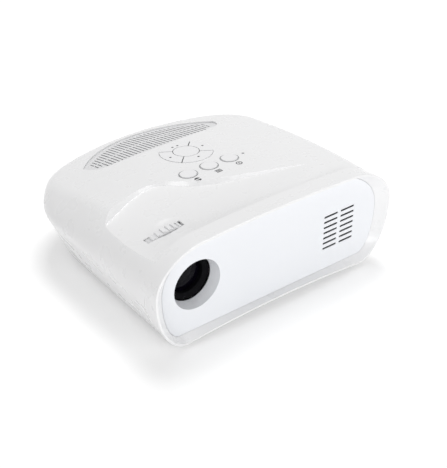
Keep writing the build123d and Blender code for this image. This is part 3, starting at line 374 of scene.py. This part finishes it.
def ink_line(name, node, body, start, end, width, samples):
    """A straight bar of ink: points from start to end, each set off half the width to both sides."""
    start, end = np.array(start), np.array(end)
    along = np.linspace(0.0, 1.0, samples)[:, None]
    across = np.linspace(-0.5, 0.5, 3)[:, None, None]
    run = (end - start) / np.linalg.norm(end - start)
    side = np.array([-run[1], run[0]])
    ink_or_shade_grid(name, node, body, start + along * (end - start) + across * width * side, ink)


def ink_or_shade_disc(name, node, body, centre, radius, inner=0.0, finish=ink, turns=36, sweep=2 * math.pi):
    """A disc, ring or half disc of ink, or of painted shade round the buttons: radius from inner to outer,
    and angle from 0 through the sweep.
    """
    angle = np.linspace(0.0, sweep, turns + 1)
    radii = np.linspace(max(inner, 0.01 * mm), radius, 4)[:, None]
    plan = np.stack([centre[0] + radii * np.cos(angle), centre[1] + radii * np.sin(angle)], axis=-1)
    ink_or_shade_grid(name, node, body, plan, finish)


def pad_marks():
    """Small dots on the direction keys: two on the rear key, one on each of the others."""
    dot_radius = 1.25 * mm
    places = {"pad_key_rear": [(-3.2, 20), (3.2, 20)], "pad_key_left": [(-21, -1)],
              "pad_key_right": [(21, -1)], "pad_key_front": [(0, -22)]}
    for key, dots in places.items():
        for index, (dx, dy) in enumerate(dots):
            centre = pad_x + dx * mm, pad_y + dy * mm
            ink_or_shade_disc(f"{key}_dot_{index + 1}", key, key + "_cap", centre, dot_radius, turns=20)


def standby_mark(x, y):
    """A ring with a short bar in it."""
    half_bar = 1.6 * mm
    ink_or_shade_disc("mark_standby_ring", "top_cover", "housing", (x, y), 3.5 * mm, 2.5 * mm)
    ink_line("mark_standby_bar", "top_cover", "housing", (x, y - half_bar), (x, y + half_bar), 1.0 * mm, 6)


def list_mark(x, y):
    """Three bars, one above the other."""
    half_bar, pitch = 3.6 * mm, 2.2 * mm
    for row in (-1, 0, 1):
        bar_y = y + row * pitch
        ink_line(f"mark_list_{row + 2}", "top_cover", "housing", (x - half_bar, bar_y), (x + half_bar, bar_y),
                 1.3 * mm, 8)


def eject_mark(x, y):
    """Two half discs with a slit between them."""
    half_slit = 0.8 * mm
    for name, side in (("rear", 1), ("front", -1)):
        ink_or_shade_disc("mark_eject_" + name, "top_cover", "housing", (x, y + side * half_slit), 3.1 * mm,
                 sweep=side * math.pi)


def button_marks():
    """The marks on the cover in front of the three buttons, from left to right."""
    mark_drop = 16.4 * mm
    for (x, y), mark in zip(sorted(button_middles.values()), (eject_mark, list_mark, standby_mark)):
        mark(x, y - mark_drop)


def paint_button_edge_shade():
    """Painted shade: a fine grey ring round each button, just outside the edge of its hole, standing in for
    the shading of that edge.
    """
    for button, middle in button_middles.items():
        # painted shade ring round the edge of the button's hole
        ink_or_shade_disc(button + "_ring", "top_cover", "housing", middle, 10.15 * mm, 9.4 * mm, painted_edge_shade, turns=48)


pad_marks()
button_marks()
# painted shade round the buttons
paint_button_edge_shade()


# ---------------------------------------------------------------- studio
def light_panel(name, place, aim, size, power):
    """A rectangular lamp of that size in metres and power in watts, turned from its place to its aim."""
    lamp = bpy.data.lights.new(name, "AREA")
    lamp.shape = "RECTANGLE"
    lamp.size, lamp.size_y = size
    lamp.energy = power
    obj = bpy.data.objects.new(name, lamp)
    obj.location = place
    obj.rotation_mode = "QUATERNION"
    obj.rotation_quaternion = (Vector(aim) - Vector(place)).to_track_quat("-Z", "Y")
    bpy.context.scene.collection.objects.link(obj)


def seen_directly(wire):
    """1 for rays from the camera or from a glossy or clear surface, 0 for those that light the object."""
    camera, glossy, clear = (wire.node("ShaderNodeLightPath", out=f"Is {kind} Ray")
                             for kind in ("Camera", "Glossy", "Transmission"))
    return wire.maths("MAXIMUM", wire.maths("MAXIMUM", camera, glossy), clear)


def make_floor():
    """A pale floor that shows white to the camera but keeps the object's shadow."""
    half_size, glow_strength = 6.0, 0.24
    corners = [(-half_size, -half_size, 0), (half_size, -half_size, 0), (half_size, half_size, 0),
               (-half_size, half_size, 0)]
    mesh = bpy.data.meshes.new("floor")
    mesh.from_pydata(corners, [], [(0, 1, 2, 3)])
    floor = bpy.data.objects.new("floor", mesh)
    bpy.context.scene.collection.objects.link(floor)
    finish = Finish("floor_paper", (0.92, 0.92, 0.92), 0.9)
    finish.set("Roughness", finish.noise(20.0) * 0.06 + 0.86)
    wire = finish.wire
    paper = Wire(finish.tree, finish.shader.outputs[0])
    glow = wire.node("ShaderNodeEmission", None, {"Color": (1.0, 1.0, 1.0, 1.0), "Strength": glow_strength})
    both = wire.node("ShaderNodeAddShader", None, {0: paper, 1: glow})
    mixed = wire.node("ShaderNodeMixShader", None, {0: seen_directly(wire), 1: paper, 2: both})
    finish.tree.links.new(mixed.socket, finish.tree.nodes["Material Output"].inputs["Surface"])
    mesh.materials.append(finish.material)


def make_world():
    """White all round: full strength where it is seen, and dimmer where it lights the object."""
    lighting = 0.42
    world = bpy.data.worlds.new("studio")
    bpy.context.scene.world = world
    world.use_nodes = True
    back = world.node_tree.nodes["Background"]
    back.inputs["Color"].default_value = (1.0, 1.0, 1.0, 1.0)
    seen = seen_directly(Wire(world.node_tree, None))
    world.node_tree.links.new((seen * (1 - lighting) + lighting).socket, back.inputs["Strength"])


make_floor()
make_world()
housing_middle = (0.0, 0.0, 0.05)
front_middle = (0.05, -0.1, 0.06)
light_panel("key_panel", (0.45, 0.45, 1.7), housing_middle, (0.8, 0.8), 14.5)
light_panel("front_panel_light", (0.5, -2.0, 0.6), front_middle, (1.4, 1.0), 15.0)
light_panel("left_fill", (-1.7, -0.9, 0.35), housing_middle, (0.8, 0.5), 8.0)


# ---------------------------------------------------------------- camera
# Fitted to the photograph on a rougher body, in mm, and then carried over to this one's front and scale.
turn_deg, tilt_deg, roll_deg = -38.40, 34.13, 0.82
focal_over_width = 1300.0 / 447.0           # focal length over the picture's width
distance = 1527.4                           # from the fitted body's middle to the camera
shift_right, shift_up = -18.38, 21.37       # of that middle from the picture's middle
fit_middle = Vector((0.0, 0.0, 50.0))
fit_scale = 0.8955                          # this body's size over the fitted one's
fit_front_y, front_y = -130.0, -137.5       # the two bodies' front faces
rise = 3.0                                  # this body stands that much higher than the fitted one


def make_camera():
    """Camera on the fitted ray: turned round the object, tilted, then rolled about its own line of sight."""
    turn, tilt, roll = (math.radians(angle) for angle in (turn_deg, tilt_deg, roll_deg))
    right = Vector((math.cos(turn), math.sin(turn), 0))
    back = Vector((math.sin(turn) * math.cos(tilt), -math.cos(turn) * math.cos(tilt), math.sin(tilt)))
    up = back.cross(right)
    fitted = fit_middle + distance * back - shift_right * right - shift_up * up
    place = Vector((fitted.x, fitted.y - fit_front_y, fitted.z)) * fit_scale + Vector((0.0, front_y, rise))
    rolled_right = right * math.cos(roll) + up * math.sin(roll)
    rolled_up = up * math.cos(roll) - right * math.sin(roll)
    rotation = Matrix((rolled_right, rolled_up, back)).transposed()
    data = bpy.data.cameras.new("camera")
    data.sensor_fit = "HORIZONTAL"
    data.sensor_width = 36.0
    data.lens = data.sensor_width * focal_over_width
    data.clip_start, data.clip_end = 0.01, 50.0
    camera = bpy.data.objects.new("camera", data)
    camera.matrix_world = Matrix.Translation(place * mm) @ rotation.to_4x4()
    bpy.context.scene.collection.objects.link(camera)
    bpy.context.scene.camera = camera


make_camera()
bpy.context.scene.view_settings.view_transform = "Standard"
